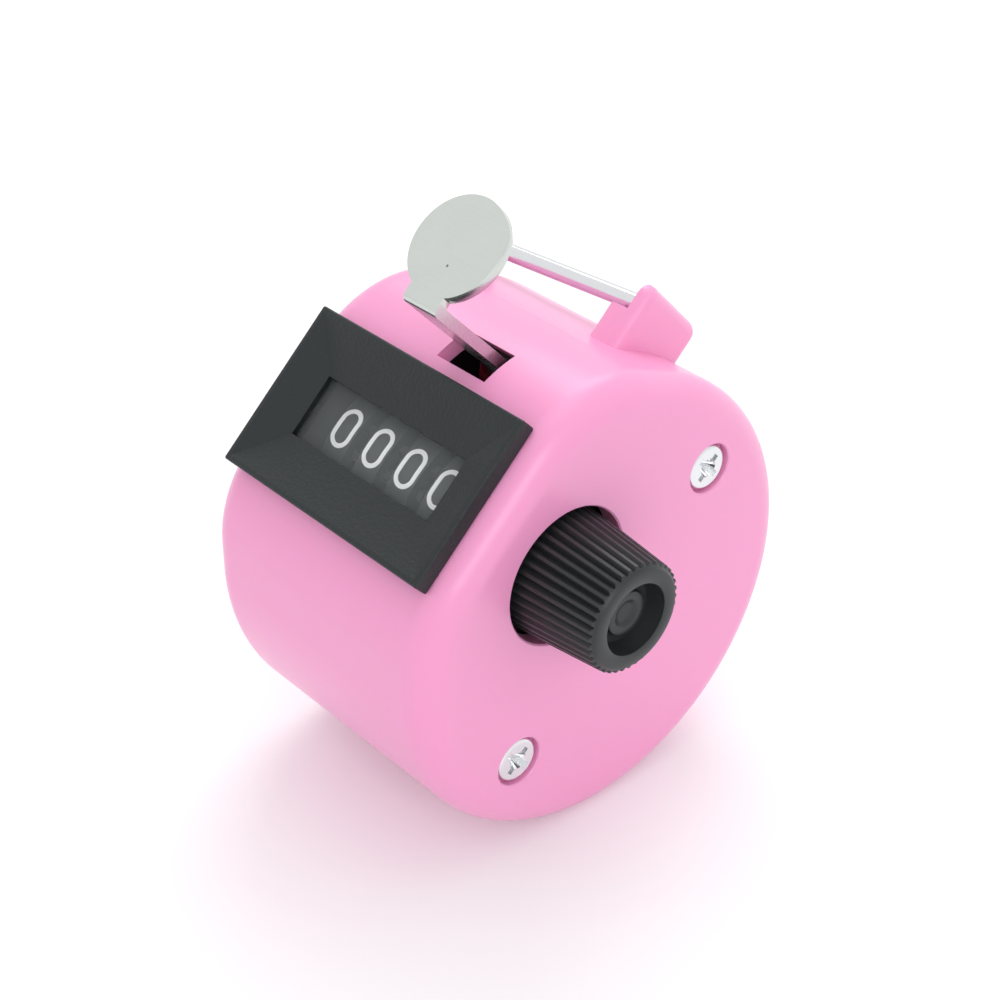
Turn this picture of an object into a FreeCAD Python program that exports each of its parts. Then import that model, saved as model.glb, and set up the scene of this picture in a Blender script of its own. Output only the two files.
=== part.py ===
"""Hand tally counter: drum case, number wheels, thumb lever, ratchet drive and reset knob.

Every piece is modelled with the display face level: X across the case, Y up the face, Z out of
the face, and the origin on the drum's axis. One placement then leans the whole counter back by
face_tilt and lifts it until the flat under the drum stands on Z = 0.
"""
import FreeCAD, Part
import math
import os
import Sketcher

doc = FreeCAD.newDocument("tally_counter")

# ---------------------------------------------------------------- driving dimensions (mm, deg)
SIZES = [
    ("body_radius", 23.6, "drum of the case"),
    ("body_width", 32.2, "case, end to end"),
    ("front_drop", 1.1, "display face below the drum's own radius"),
    ("front_half_flat", 6.3, "half of the flat display face"),
    ("corner_inset", 10.1, "corners beside the display face, tighter than the drum"),
    ("window_rise", 0.9, "display centre up from the drum axis"),
    ("axle_shift", 0.4, "wheel axis down the face from the display centre"),
    ("end_round", 3.2, "rounded rim of each end"),
    ("wall", 1.8, "case wall"),
    ("end_wall", 2.2, "closed end of the case"),
    ("base_cut", 0.5, "depth of the standing flat"),
    ("face_tilt", 42.7, "lean of the display face"),
    ("cover_thick", 2.0, "end cover"),
    ("cover_recess", 0.5, "end cover below the rim"),
    ("fit_gap", 0.1, "clearance of fixed pieces that drop in"),
    ("run_gap", 0.05, "radial clearance of shafts in bores"),
    ("bezel_offset", -0.4, "display centre along the case"),
    ("bezel_width", 28.0, "bezel along the case"),
    ("bezel_height", 17.2, "bezel up the face"),
    ("bezel_proud", 1.9, "bezel above the face"),
    ("bezel_lip", 0.55, "flat rim of the bezel"),
    ("window_width", 19.5, "opening along the case"),
    ("window_height", 6.4, "opening up the face"),
    ("window_sink", 1.55, "opening's edge below the bezel rim"),
    ("spigot_margin", 1.8, "spigot outside the opening"),
    ("spigot_depth", 1.6, "spigot below the face"),
    ("lens_margin", 0.9, "lens outside the opening"),
    ("lens_thick", 0.9, "clear window"),
    ("lens_sink", 0.65, "clear window below the opening's edge"),
    ("wheel_gap", 2.55, "number wheels below the face"),
    ("wheel_radius", 10.05, "number wheels"),
    ("wheel_pitch", 4.68, "wheel to wheel"),
    ("wheel_rim", 3.0, "figure band of a wheel"),
    ("shaft_radius", 1.5, "reset shaft"),
    ("gear_module", 0.86, "carry gears"),
    ("gear_face", 0.8, "carry gear ring on a wheel"),
    ("carry_face", 0.6, "two-tooth carry segment"),
    ("pinion_face", 1.2, "carry pinions"),
    ("pinion_pin_radius", 0.8, "pinion shaft"),
    ("ratchet_tip", 4.8, "ratchet, over the teeth"),
    ("ratchet_root", 3.6, "ratchet, between the teeth"),
    ("ratchet_thick", 1.0, "ratchet and drive pawl"),
    ("plate_thick", 0.8, "mechanism side plates"),
    ("plate_margin", 3.18, "outer face of each side plate beyond the wheels"),
    ("post_radius", 1.4, "mechanism posts"),
    ("rest_margin", 0.6, "rests of the side plates outside the posts"),
    ("collar_wall", 0.9, "spacers round the reset shaft"),
    ("knob_gap", 0.47, "knob in the hole of the closed end"),
    ("knob_base_radius", 6.5, "knob at the case"),
    ("knob_end_radius", 5.5, "knob at its end"),
    ("knob_reach", 8.8, "knob beyond the case"),
    ("knob_ribs", 40, "grip ribs"),
    ("knob_rib", 0.35, "rib height"),
    ("knob_sink", 0.8, "knob inside the closed end"),
    ("knob_web", 3.0, "solid end of the knob beyond the shaft"),
    ("knob_recess", 1.6, "dish in the knob's end"),
    ("knob_recess_radius", 3.5, "dish in the knob's end"),
    ("knob_boss_radius", 2.3, "boss in the dish"),
    ("knob_boss_drop", 0.5, "boss below the knob's end"),
    ("knob_dimple", 0.7, "dimple in the boss"),
    ("knob_dimple_radius", 1.3, "dimple in the boss"),
    ("screw_inset", 7.1, "case screws from the drum's surface"),
    ("screw_sink", 0.25, "case screws below the closed end"),
    ("screw_gap", 0.2, "case screw shank in its hole"),
    ("seat_gap", 0.15, "case screw head in its seat"),
    ("screw_head_radius", 2.45, "case screw head"),
    ("screw_head", 0.7, "case screw head height"),
    ("screw_radius", 1.2, "case screw shank"),
    ("screw_length", 11.0, "case screw below its head"),
    ("cross_length", 3.0, "cross recess of a case screw"),
    ("cross_width", 0.56, "cross recess of a case screw"),
    ("cross_depth", 0.45, "cross recess of a case screw"),
    ("boss_radius", 2.7, "screw bosses of the cover"),
    ("slot_width", 6.5, "lever slot along the case"),
    ("slot_front", 11.1, "front edge of the slot from the drum axis"),
    ("slot_back", 14.5, "back edge of the slot from the drum axis"),
    ("lever_offset", 2.15, "lever strip along the case"),
    ("lever_width", 4.3, "lever strip"),
    ("lever_thick", 1.1, "lever strip and thumb pad"),
    ("lever_back", 13.9, "back of the lever strip"),
    ("pad_rise", 8.8, "top of the thumb pad above the face"),
    ("pad_reach", 19.1, "thumb pad centre from the drum axis"),
    ("pad_radius", 5.05, "thumb pad"),
    ("pivot_v", 15.6, "lever pivot, up the face"),
    ("pivot_rise", 0.1, "lever pivot above the wheel axis"),
    ("pivot_radius", 1.0, "lever pivot pin"),
    ("cheek", 0.8, "lever cheeks"),
    ("pawl_pin_back", 5.4, "pawl pin below the wheel axis, down the face"),
    ("pawl_pin_rise", 7.6, "pawl pin above the wheel axis, out of the face"),
    ("pawl_pin_radius", 0.6, "pawl pin"),
    ("lug_width", 5.4, "right strap lug"),
    ("lug_right", 8.0, "outer side of the right lug"),
    ("lug_left", -15.3, "outer side of the left lug"),
    ("left_lug_width", 2.5, "left strap lug"),
    ("lug_rise", 4.1, "lugs beyond the drum's radius"),
    ("lug_front", 12.0, "front of the right lug"),
    ("lug_back", 1.9, "back of the right lug"),
    ("left_lug_front", 11.4, "front of the left lug"),
    ("left_lug_back", 7.0, "back of the left lug"),
    ("lug_root", 2.2, "start of the lugs inside the wall"),
    ("lug_round", 1.4, "rounded edges of the lugs"),
    ("bar_radius", 0.9, "strap bar"),
    ("bar_inset", 1.7, "strap bar inside the right lug's top"),
    ("bar_front", 9.15, "strap bar, out of the face"),
    ("bar_lean", 4.0, "strap bar's lean towards the left lug"),
    ("bar_end_gap", 0.3, "strap bar short of the notch's side"),
    ("bar_anchor", 1.0, "left lug beyond the strap bar's end"),
    ("notch_drop", 3.2, "floor of the right lug's notch below its top"),
    ("notch_depth", 4.0, "notch along the case"),
    ("spring_wire", 0.3, "radius of the lever spring's wire"),
    ("spring_coil", 1.35, "radius of the lever spring's coil"),
    ("spring_turns", 6, "turns of the lever spring"),
]

# Sizes that follow from the ones above
TIED = [
    ("front_height", "=body_radius - front_drop", "display face above the drum axis"),
    ("front_corner", "=body_radius - corner_inset", "radius between display face and drum"),
    ("wheel_drop", "=wheel_radius + wheel_gap", "wheel axis below the face"),
    ("axle_height", "=front_height - wheel_drop", "wheel axis above the drum axis"),
    ("plate_reach", "=1.5 * wheel_pitch + wheel_rim / 2 + plate_margin", "outer face of each side plate"),
    ("knob_hole_radius", "=knob_base_radius + knob_gap", "hole in the closed end"),
    ("screw_spread", "=body_radius - screw_inset", "case screws from the drum axis"),
    ("pad_height", "=front_height + pad_rise", "top of the thumb pad above the drum axis"),
    ("pivot_w", "=axle_height + pivot_rise", "lever pivot, out of the face"),
    ("pawl_pin_v", "=window_rise - axle_shift - pawl_pin_back", "pawl pin, up the face"),
    ("pawl_pin_w", "=axle_height + pawl_pin_rise", "pawl pin, out of the face"),
    ("lug_top", "=body_radius + lug_rise", "lugs from the drum axis"),
    ("bar_seat", "=lug_top - bar_inset", "strap bar at the right lug"),
    ("notch_floor", "=lug_top - notch_drop", "floor of the right lug's notch"),
]

dims = doc.addObject("Spreadsheet::Sheet", "dims")
for row, (alias, value, note) in enumerate(SIZES + TIED, start=1):
    dims.set(f"A{row}", note)
    dims.set(f"B{row}", str(value))
    dims.setAlias(f"B{row}", alias)
doc.recompute()

# ---------------------------------------------------------------- places shared by several pieces
END = "(dims.body_width / 2)"
AXLE_V = "(dims.window_rise - dims.axle_shift)"
AXLE_W = "dims.axle_height"
PLATE_IN = "(dims.plate_reach - dims.plate_thick)"
END_INSIDE = f"({END} - dims.end_wall)"
COVER_OUT = f"({END} - dims.cover_recess)"
COVER_IN = f"({COVER_OUT} - dims.cover_thick)"
WINDOW_BOTTOM = "(dims.front_height - dims.spigot_depth)"
WINDOW_EDGE = "(dims.front_height + dims.bezel_proud - dims.window_sink)"
FACE_TOP = "(dims.front_height + dims.bezel_proud)"
LENS_TOP = f"({WINDOW_EDGE} - dims.lens_sink)"
HEAD_TOP = f"({END} - dims.screw_sink)"
HEAD_BOTTOM = f"({HEAD_TOP} - dims.screw_head)"
NOTCH_LEFT = "(dims.lug_right - dims.lug_width)"
NOTCH_RIGHT = f"({NOTCH_LEFT} + dims.notch_depth)"
BAR_RIGHT = f"({NOTCH_RIGHT} - dims.bar_end_gap)"
SHAFT_END = f"({END} + dims.knob_reach - dims.knob_web)"
GEAR_TEETH = 20
PINION_TEETH = 8
GEAR_PITCH_RADIUS = f"(dims.gear_module * {GEAR_TEETH} / 2)"
PINION_PITCH_RADIUS = f"(dims.gear_module * {PINION_TEETH} / 2)"
ADDENDUM = "(0.7 * dims.gear_module)"
DEDENDUM = "(1.0 * dims.gear_module)"
CENTRES = f"({GEAR_PITCH_RADIUS} + {PINION_PITCH_RADIUS} + 2 * dims.run_gap)"
PINION_BEARING = 260.0
PINION_V = f"({AXLE_V} + {CENTRES} * cos({PINION_BEARING}))"
PINION_W = f"({AXLE_W} + {CENTRES} * sin({PINION_BEARING}))"
WHEELS = ["wheel_thousands", "wheel_hundreds", "wheel_tens", "wheel_units"]
RATCHET_GAP = 0.28
CHEEK_GAP = 0.35
RATCHET_IN = f"(dims.bezel_offset + 1.5 * dims.wheel_pitch + dims.wheel_rim / 2 + {RATCHET_GAP})"
RATCHET_OUT = f"({RATCHET_IN} + dims.ratchet_thick)"
CHEEK_OUT = f"({PLATE_IN} - {CHEEK_GAP})"
CHEEK_IN = f"({CHEEK_OUT} - dims.cheek)"
THROUGH = 40.0


def from_axle(v, w):
    """Place given from the wheel axis: up the face, and out of it."""
    return f"({AXLE_V} + {v})", f"({AXLE_W} + {w})"


def under_face(v, depth):
    """Place given from the wheel axis up the face, and below the display face."""
    return f"({AXLE_V} + {v})", f"(dims.front_height - {depth})"


POSTS = [from_axle(-10.4, -11.9), from_axle(8.1, -14.9), under_face(-10.2, 5.9)]
parts = {}


def number(expression):
    """Value of an expression on the sheet, as a plain float."""
    found = dims.evalExpression(str(expression))
    return float(getattr(found, "Value", found))


def bind(obj, **sizes):
    """Tie an object's properties to expressions."""
    for name, expression in sizes.items():
        obj.setExpression(name, str(expression))
    return obj


def move(obj, x=0, v=0, w=0):
    """Tie an object's place to expressions."""
    for name, expression in zip("xyz", (x, v, w)):
        obj.setExpression(f".Placement.Base.{name}", str(expression))
    return obj


def block(x0, x1, v0, v1, w0, w1, name="block"):
    """Box between three pairs of planes."""
    box = doc.addObject("Part::Box", name)
    bind(box, Length=f"{x1} - ({x0})", Width=f"{v1} - ({v0})", Height=f"{w1} - ({w0})")
    return move(box, x0, v0, w0)


def rod(x0, x1, radius, v=AXLE_V, w=AXLE_W, name="rod"):
    """Cylinder along X."""
    cylinder = doc.addObject("Part::Cylinder", name)
    cylinder.Placement = FreeCAD.Placement(FreeCAD.Vector(), FreeCAD.Rotation(FreeCAD.Vector(0, 1, 0), 90))
    bind(cylinder, Radius=radius, Height=f"{x1} - ({x0})")
    return move(cylinder, x0, v, w)


def cone(x0, x1, radius0, radius1, v=AXLE_V, w=AXLE_W, name="cone"):
    """Cone along X."""
    shape = doc.addObject("Part::Cone", name)
    shape.Placement = FreeCAD.Placement(FreeCAD.Vector(), FreeCAD.Rotation(FreeCAD.Vector(0, 1, 0), 90))
    bind(shape, Radius1=radius0, Radius2=radius1, Height=f"{x1} - ({x0})")
    return move(shape, x0, v, w)


def fuse(pieces, name="joined"):
    """Union of several objects."""
    union = doc.addObject("Part::MultiFuse", name)
    union.Shapes = pieces
    union.Refine = True
    return union


def cut(base, tools, name="cut"):
    """Base with every tool taken away."""
    result = doc.addObject("Part::Cut", name)
    result.Base = base
    result.Tool = tools[0] if len(tools) == 1 else fuse(tools, "tools")
    result.Refine = True
    return result


def outline_plate(x0, x1, corners, name="plate"):
    """Plate across the case whose outline is a closed run of corners (v, w)."""
    start = number(x0)
    points = [FreeCAD.Vector(start, number(v), number(w)) for v, w in corners]
    face = Part.Face(Part.makePolygon(points + points[:1]))
    plate = doc.addObject("Part::Feature", name)
    plate.Shape = face.extrude(FreeCAD.Vector(number(x1) - start, 0, 0))
    return plate


def node(obj, label):
    """Finish a sub-part: give it its name and lean it with the whole counter."""
    obj.Label = f"{label}_upright"
    holder = doc.addObject("Part::Compound", label)
    holder.Links = [obj]
    obj = holder
    obj.Label = label
    obj.Placement = FreeCAD.Placement(FreeCAD.Vector(), FreeCAD.Rotation(FreeCAD.Vector(1, 0, 0), 1))
    obj.setExpression(".Placement.Rotation.Angle", "dims.face_tilt")
    obj.setExpression(".Placement.Base.z", "dims.body_radius - dims.base_cut")
    parts[label] = obj
    return obj


# ---------------------------------------------------------------- case
def plane_of(body, role):
    """Origin plane of a body."""
    return next(f for f in body.Origin.OriginFeatures if f.Role == role)


def drum_sketch(body, name, inset, station):
    """Case outline moved in by inset: a flat face, two round corners and the drum, all tangent."""
    sketch = body.newObject("Sketcher::SketchObject", name)
    sketch.AttachmentSupport = [(plane_of(body, "YZ_Plane"), "")]
    sketch.MapMode = "FlatFace"
    sketch.setExpression(".AttachmentOffset.Base.z", station)
    drum, corner, rise = number("dims.body_radius"), number("dims.front_corner"), number("dims.window_rise")
    depth, half, shift = number("dims.front_height"), number("dims.front_half_flat"), number(inset)
    centres = [(rise + half, depth - corner), (rise - half, depth - corner)]
    leans = []
    for side, (v, w) in zip((-1, 1), centres):
        leans.append(math.atan2(w, v) + side * math.acos((drum - corner) / math.hypot(v, w)))

    def arc(v, w, radius, start, end):
        circle = Part.Circle(FreeCAD.Vector(v, w, 0), FreeCAD.Vector(0, 0, 1), radius - shift)
        return sketch.addGeometry(Part.ArcOfCircle(circle, start, end), False)

    def line(v0, w0, v1, w1):
        ends = FreeCAD.Vector(v0, w0, 0), FreeCAD.Vector(v1, w1, 0)
        return sketch.addGeometry(Part.LineSegment(*ends), False)

    def on(v, w, radius, angle):
        return v + (radius - shift) * math.cos(angle), w + (radius - shift) * math.sin(angle)

    (av, aw), (bv, bw) = centres
    top = arc(av, aw, corner, leans[0], math.pi / 2)
    face = line(av, depth - shift, bv, depth - shift)
    low = arc(bv, bw, corner, math.pi / 2, leans[1])
    under = line(*on(bv, bw, corner, leans[1]), *on(0, 0, drum, leans[1]))
    back = arc(0, 0, drum, leans[1], leans[0] + 2 * math.pi)
    over = line(*on(0, 0, drum, leans[0]), *on(av, aw, corner, leans[0]))
    ring = [(top, 2, face, 1), (face, 2, low, 1), (low, 2, under, 1), (under, 2, back, 1),
            (back, 2, over, 1), (over, 2, top, 1)]
    for first, first_end, second, second_end in ring:
        sketch.addConstraint(Sketcher.Constraint("Tangent", first, first_end, second, second_end))
    sketch.addConstraint(Sketcher.Constraint("Coincident", back, 3, -1, 1))
    named = [("drum", "Radius", (back,), drum - shift, f"dims.body_radius - {inset}"),
             ("top_corner", "Radius", (top,), corner - shift, f"dims.front_corner - {inset}"),
             ("low_corner", "Radius", (low,), corner - shift, f"dims.front_corner - {inset}"),
             ("top_v", "DistanceX", (-1, 1, top, 3), av, "dims.window_rise + dims.front_half_flat"),
             ("low_v", "DistanceX", (-1, 1, low, 3), bv, "dims.window_rise - dims.front_half_flat"),
             ("top_w", "DistanceY", (-1, 1, top, 3), aw, "dims.front_height - dims.front_corner"),
             ("low_w", "DistanceY", (-1, 1, low, 3), bw, "dims.front_height - dims.front_corner")]
    for label, kind, where, value, expression in named:
        index = sketch.addConstraint(Sketcher.Constraint(kind, *where, value))
        sketch.renameConstraint(index, label)
        sketch.setExpression(f"Constraints.{label}", expression)
    return sketch


def drum_body():
    """Hollow drum, closed at the knob end, with both rims rounded."""
    body = doc.addObject("PartDesign::Body", "drum")
    pad = body.newObject("PartDesign::Pad", "drum_solid")
    pad.Profile = drum_sketch(body, "drum_outline", "0", f"-{END}")
    bind(pad, Length="dims.body_width")
    doc.recompute()
    ends = [f"Face{i}" for i, face in enumerate(pad.Shape.Faces, start=1)
            if isinstance(face.Surface, Part.Plane) and abs(face.normalAt(0, 0).x) > 0.99]
    rims = body.newObject("PartDesign::Fillet", "rounded_rims")
    rims.Base = (pad, ends)
    bind(rims, Radius="dims.end_round")
    doc.recompute()
    hollow = body.newObject("PartDesign::Pocket", "hollow")
    hollow.Profile = drum_sketch(body, "hollow_outline", "dims.wall", f"-{END}")
    hollow.Reversed = True
    bind(hollow, Length="dims.body_width - dims.end_wall")
    doc.recompute()
    if hollow.Shape.Volume > 0.5 * rims.Shape.Volume:
        raise RuntimeError("the hollow was not cut")
    return body


def lug(x0, x1, back, front, name):
    """Block that stands off the drum to carry the strap bar, its outer edges rounded."""
    root = "dims.body_radius - dims.wall - dims.lug_root"
    solid = block(x0, x1, root, "dims.lug_top", back, front, f"{name}_block")
    doc.recompute()
    top = number("dims.lug_top")
    edges = [i for i, edge in enumerate(solid.Shape.Edges, start=1)
             if abs(edge.CenterOfMass.y - top) < 0.01]
    rounded = doc.addObject("Part::Fillet", name)
    rounded.Base = solid
    radius = min(number("dims.lug_round"), 0.45 * number(f"{x1} - ({x0})"))
    rounded.Edges = [(i, radius, radius) for i in edges]
    inside = rod(f"-{END}", END, "dims.body_radius - dims.wall", 0, 0, "drum_inside")
    return cut(rounded, [inside], f"{name}_on_drum")


def strap_rod(name):
    """Rod through both lugs, leaning down towards the left one."""
    shape = doc.addObject("Part::Cylinder", name)
    lean = FreeCAD.Rotation(FreeCAD.Vector(0, 0, 1), number("dims.bar_lean"))
    across = FreeCAD.Rotation(FreeCAD.Vector(0, 1, 0), -90)
    shape.Placement = FreeCAD.Placement(FreeCAD.Vector(), lean.multiply(across))
    bind(shape, Radius="dims.bar_radius", Height=f"{BAR_RIGHT} - dims.lug_left - dims.bar_anchor")
    return move(shape, BAR_RIGHT, "dims.bar_seat", "dims.bar_front")


def case_shell():
    """Case with its strap lugs, display opening, lever slot, knob hole and screw seats."""
    right = lug(NOTCH_LEFT, "dims.lug_right", "dims.lug_back", "dims.lug_front", "right_lug")
    left = lug("dims.lug_left", "dims.lug_left + dims.left_lug_width", "dims.left_lug_back",
               "dims.left_lug_front", "left_lug")
    rests = [rod("dims.plate_reach", END_INSIDE, "dims.post_radius + dims.rest_margin", v, w, "plate_rest")
             for v, w in POSTS]
    solid = fuse([drum_body(), right, left] + rests, "case_solid")
    half_v = "(dims.window_height / 2 + dims.spigot_margin + dims.fit_gap)"
    half_x = "(dims.window_width / 2 + dims.spigot_margin + dims.fit_gap)"
    opening = block(f"dims.bezel_offset - {half_x}", f"dims.bezel_offset + {half_x}",
                    f"dims.window_rise - {half_v}", f"dims.window_rise + {half_v}",
                    AXLE_W, FACE_TOP, "display_opening")
    half_slot = "dims.slot_width / 2"
    slot = block(f"dims.lever_offset - {half_slot}", f"dims.lever_offset + {half_slot}", "dims.slot_front",
                 "dims.slot_back", "dims.pivot_w + 5", "dims.front_height + 1", "lever_slot")
    knob_hole = rod(0, f"{END} + 1", "dims.knob_hole_radius", name="knob_hole")
    tools = [opening, slot, knob_hole]
    for v in ("dims.screw_spread", "-dims.screw_spread"):
        tools.append(rod(f"{END_INSIDE} - 1", f"{END} + 1", "dims.screw_radius + dims.screw_gap",
                         v, 0, "screw_hole"))
        tools.append(rod(HEAD_BOTTOM, f"{END} + 1", "dims.screw_head_radius + dims.seat_gap",
                         v, 0, "screw_seat"))
    tools.append(block(f"{NOTCH_LEFT} - 1", NOTCH_RIGHT, "dims.notch_floor", "dims.lug_top + 1",
                       "dims.bar_front - dims.bar_radius", "dims.lug_front + 1", "bar_notch"))
    tools.append(strap_rod("bar_hole"))
    return node(cut(solid, tools + [standing_flat()], "case"), "case_shell")


def standing_flat():
    """Slab under the drum, level once the counter leans, that leaves it a flat to stand on."""
    slab = doc.addObject("Part::Box", "standing_flat")
    bind(slab, Length="dims.body_width + 2", Width="dims.body_radius", Height="dims.body_radius")
    slab.Placement = FreeCAD.Placement(FreeCAD.Vector(), FreeCAD.Rotation(FreeCAD.Vector(-1, 0, 0), 1))
    slab.setExpression(".Placement.Rotation.Angle", "dims.face_tilt")
    lean = "dims.face_tilt"
    reach = "(2 * dims.body_radius - dims.base_cut)"
    half = "(dims.body_radius / 2)"
    return move(slab, f"-{END} - 1", f"-{reach} * sin({lean}) - {half} * cos({lean})",
                f"-{reach} * cos({lean}) + {half} * sin({lean})")


def end_cover():
    """Cover that drops into the open end, with two screw bosses and three rests for the plates."""
    body = doc.addObject("PartDesign::Body", "cover")
    pad = body.newObject("PartDesign::Pad", "cover_disc")
    pad.Profile = drum_sketch(body, "cover_outline", "(dims.wall + dims.fit_gap)", f"-{COVER_OUT}")
    bind(pad, Length="dims.cover_thick")
    doc.recompute()
    screws = ("dims.screw_spread", "-dims.screw_spread")
    bosses = [rod(f"-{COVER_IN}", END_INSIDE, "dims.boss_radius", v, 0, "boss") for v in screws]
    rests = [rod(f"-{COVER_IN}", "-dims.plate_reach", "dims.post_radius + dims.rest_margin", v, w)
             for v, w in POSTS]
    pilots = [rod(f"{END} - dims.screw_head - dims.screw_length - 1", END, "dims.screw_radius", v, 0, "pilot")
              for v in screws]
    return node(cut(fuse([body] + bosses + rests, "cover_solid"), pilots, "cover_cut"), "end_cover")


def case_screws():
    """Two cross-head screws that clamp the case to the cover."""
    screws = []
    length, width = "(dims.cross_length / 2)", "(dims.cross_width / 2)"
    for v in ("dims.screw_spread", "-dims.screw_spread"):
        head = cone(HEAD_BOTTOM, HEAD_TOP, "dims.screw_head_radius", "0.8 * dims.screw_head_radius", v, 0)
        shank = rod(f"{HEAD_BOTTOM} - dims.screw_length", HEAD_BOTTOM, "dims.screw_radius", v, 0, "shank")
        slots = [block(f"{HEAD_TOP} - dims.cross_depth", f"{END} + 1", f"{v} - {a}", f"{v} + {a}",
                       f"-{b}", b, "cross") for a, b in ((length, width), (width, length))]
        screws.append(cut(fuse([head, shank], "screw_solid"), slots, "screw"))
    group = doc.addObject("Part::Compound", "screws")
    group.Links = screws
    return node(group, "case_screws")


def bezel():
    """Picture-frame bezel with a spigot that carries the lens."""
    half_x, half_v = "(dims.bezel_width / 2)", "(dims.bezel_height / 2)"
    x, v = "dims.bezel_offset", "dims.window_rise"
    frame = block(f"{x} - {half_x}", f"{x} + {half_x}", f"{v} - {half_v}", f"{v} + {half_v}",
                  "dims.front_height", FACE_TOP, "bezel_block")
    grow_x = "(dims.window_width / 2 + dims.spigot_margin)"
    grow_v = "(dims.window_height / 2 + dims.spigot_margin)"
    spigot = block(f"{x} - {grow_x}", f"{x} + {grow_x}", f"{v} - {grow_v}", f"{v} + {grow_v}",
                   WINDOW_BOTTOM, "dims.front_height", "bezel_spigot")
    dish = doc.addObject("Part::Wedge", "bezel_dish")
    dish.Placement = FreeCAD.Placement(FreeCAD.Vector(), FreeCAD.Rotation(FreeCAD.Vector(1, 0, 0), 90))
    half_window_x, half_window_v = "(dims.window_width / 2)", "(dims.window_height / 2)"
    bind(dish, Ymin=f"{WINDOW_EDGE}", Ymax=f"{FACE_TOP}",
         Xmin=f"{x} - {half_window_x}", Xmax=f"{x} + {half_window_x}",
         Zmin=f"-{v} - {half_window_v}", Zmax=f"-{v} + {half_window_v}",
         X2min=f"{x} - {half_x} + dims.bezel_lip", X2max=f"{x} + {half_x} - dims.bezel_lip",
         Z2min=f"-{v} - {half_v} + dims.bezel_lip", Z2max=f"-{v} + {half_v} - dims.bezel_lip")
    hole = block(f"{x} - {half_window_x}", f"{x} + {half_window_x}", f"{v} - {half_window_v}",
                 f"{v} + {half_window_v}", f"{WINDOW_BOTTOM} - 1", f"{FACE_TOP} + 1", "window_hole")
    pocket_x = "(dims.window_width / 2 + dims.lens_margin + dims.fit_gap)"
    pocket_v = "(dims.window_height / 2 + dims.lens_margin + dims.fit_gap)"
    pocket = block(f"{x} - {pocket_x}", f"{x} + {pocket_x}", f"{v} - {pocket_v}", f"{v} + {pocket_v}",
                   f"{WINDOW_BOTTOM} - 1", LENS_TOP, "lens_pocket")
    return node(cut(fuse([frame, spigot], "bezel_solid"), [dish, hole, pocket], "bezel_cut"), "bezel")


def window_lens():
    """Clear window in the bezel's spigot."""
    half_x = "(dims.window_width / 2 + dims.lens_margin)"
    half_v = "(dims.window_height / 2 + dims.lens_margin)"
    x, v = "dims.bezel_offset", "dims.window_rise"
    return node(block(f"{x} - {half_x}", f"{x} + {half_x}", f"{v} - {half_v}", f"{v} + {half_v}",
                      f"{LENS_TOP} - dims.lens_thick", LENS_TOP, "lens"), "window_lens")


# ---------------------------------------------------------------- mechanism frame
def side_plate(side, label):
    """Steel side plate with holes for the shafts and posts."""
    x0, x1 = ("-dims.plate_reach", f"-{PLATE_IN}") if side < 0 else (PLATE_IN, "dims.plate_reach")
    corners = [from_axle(*corner) for corner in ((-12.1, -13.9), (-9.4, -16.7), (8.6, -17.1), (11.7, -13.9),
                                                 (12.0, -6.3))]
    corners += [("dims.pivot_v + 2.6", "dims.pivot_w - 1.5"), ("dims.pivot_v + 2.4", "dims.pivot_w + 1.8")]
    corners += [from_axle(11.6, 4.9)]
    corners += [under_face(*corner) for corner in ((6.6, 5.0), (5.6, 2.0), (-5.0, 2.0), (-12.1, 3.9))]
    holes = [rod(f"{x0} - 1", f"{x1} + 1", "dims.shaft_radius + dims.run_gap", name="shaft_hole"),
             rod(f"{x0} - 1", f"{x1} + 1", "dims.pinion_pin_radius", PINION_V, PINION_W, "pinion_hole"),
             rod(f"{x0} - 1", f"{x1} + 1", "dims.pivot_radius", "dims.pivot_v", "dims.pivot_w", "pivot_hole")]
    holes += [rod(f"{x0} - 1", f"{x1} + 1", "dims.post_radius / 2", v, w, "post_hole") for v, w in POSTS]
    return node(cut(outline_plate(x0, x1, corners), holes, label), label)


def frame_posts():
    """Shouldered posts that hold the two plates apart."""
    posts = []
    for v, w in POSTS:
        shoulder = rod(f"-{PLATE_IN}", PLATE_IN, "dims.post_radius", v, w, "post")
        ends = rod("-dims.plate_reach", "dims.plate_reach", "dims.post_radius / 2", v, w, "post_end")
        posts.append(fuse([shoulder, ends], "post_solid"))
    group = doc.addObject("Part::Compound", "posts")
    group.Links = posts
    return node(group, "frame_posts")


# ---------------------------------------------------------------- wheels and gears
def toothed_ring(x0, x1, teeth, pitch_radius, v, w, kept=None, name="gear"):
    """Gear with straight-flanked teeth; kept limits it to the first few teeth."""
    pitch, tip = number(pitch_radius), number(f"{pitch_radius} + {ADDENDUM}")
    root = number(f"{pitch_radius} - {DEDENDUM}")
    step = 2 * math.pi / teeth
    widths = ((root, 0.30), (pitch, 0.235), (tip, 0.13))
    centre_v, centre_w, start = number(v), number(w), number(x0)
    first = math.radians(PINION_BEARING) + (0 if kept is None else math.pi)
    if teeth == PINION_TEETH:
        first += math.pi + step / 2
    corners = []
    for tooth in range(teeth):
        middle = first + tooth * step
        if kept is not None and tooth >= kept:
            corners.append((root, middle))
            continue
        flank = [(radius, middle - half * step) for radius, half in widths]
        flank += [(radius, middle + half * step) for radius, half in reversed(widths)]
        corners += flank
    points = [FreeCAD.Vector(start, centre_v + r * math.cos(a), centre_w + r * math.sin(a))
              for r, a in corners]
    gear = doc.addObject("Part::Feature", name)
    face = Part.Face(Part.makePolygon(points + points[:1]))
    gear.Shape = face.extrude(FreeCAD.Vector(number(x1) - start, 0, 0))
    return gear


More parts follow.
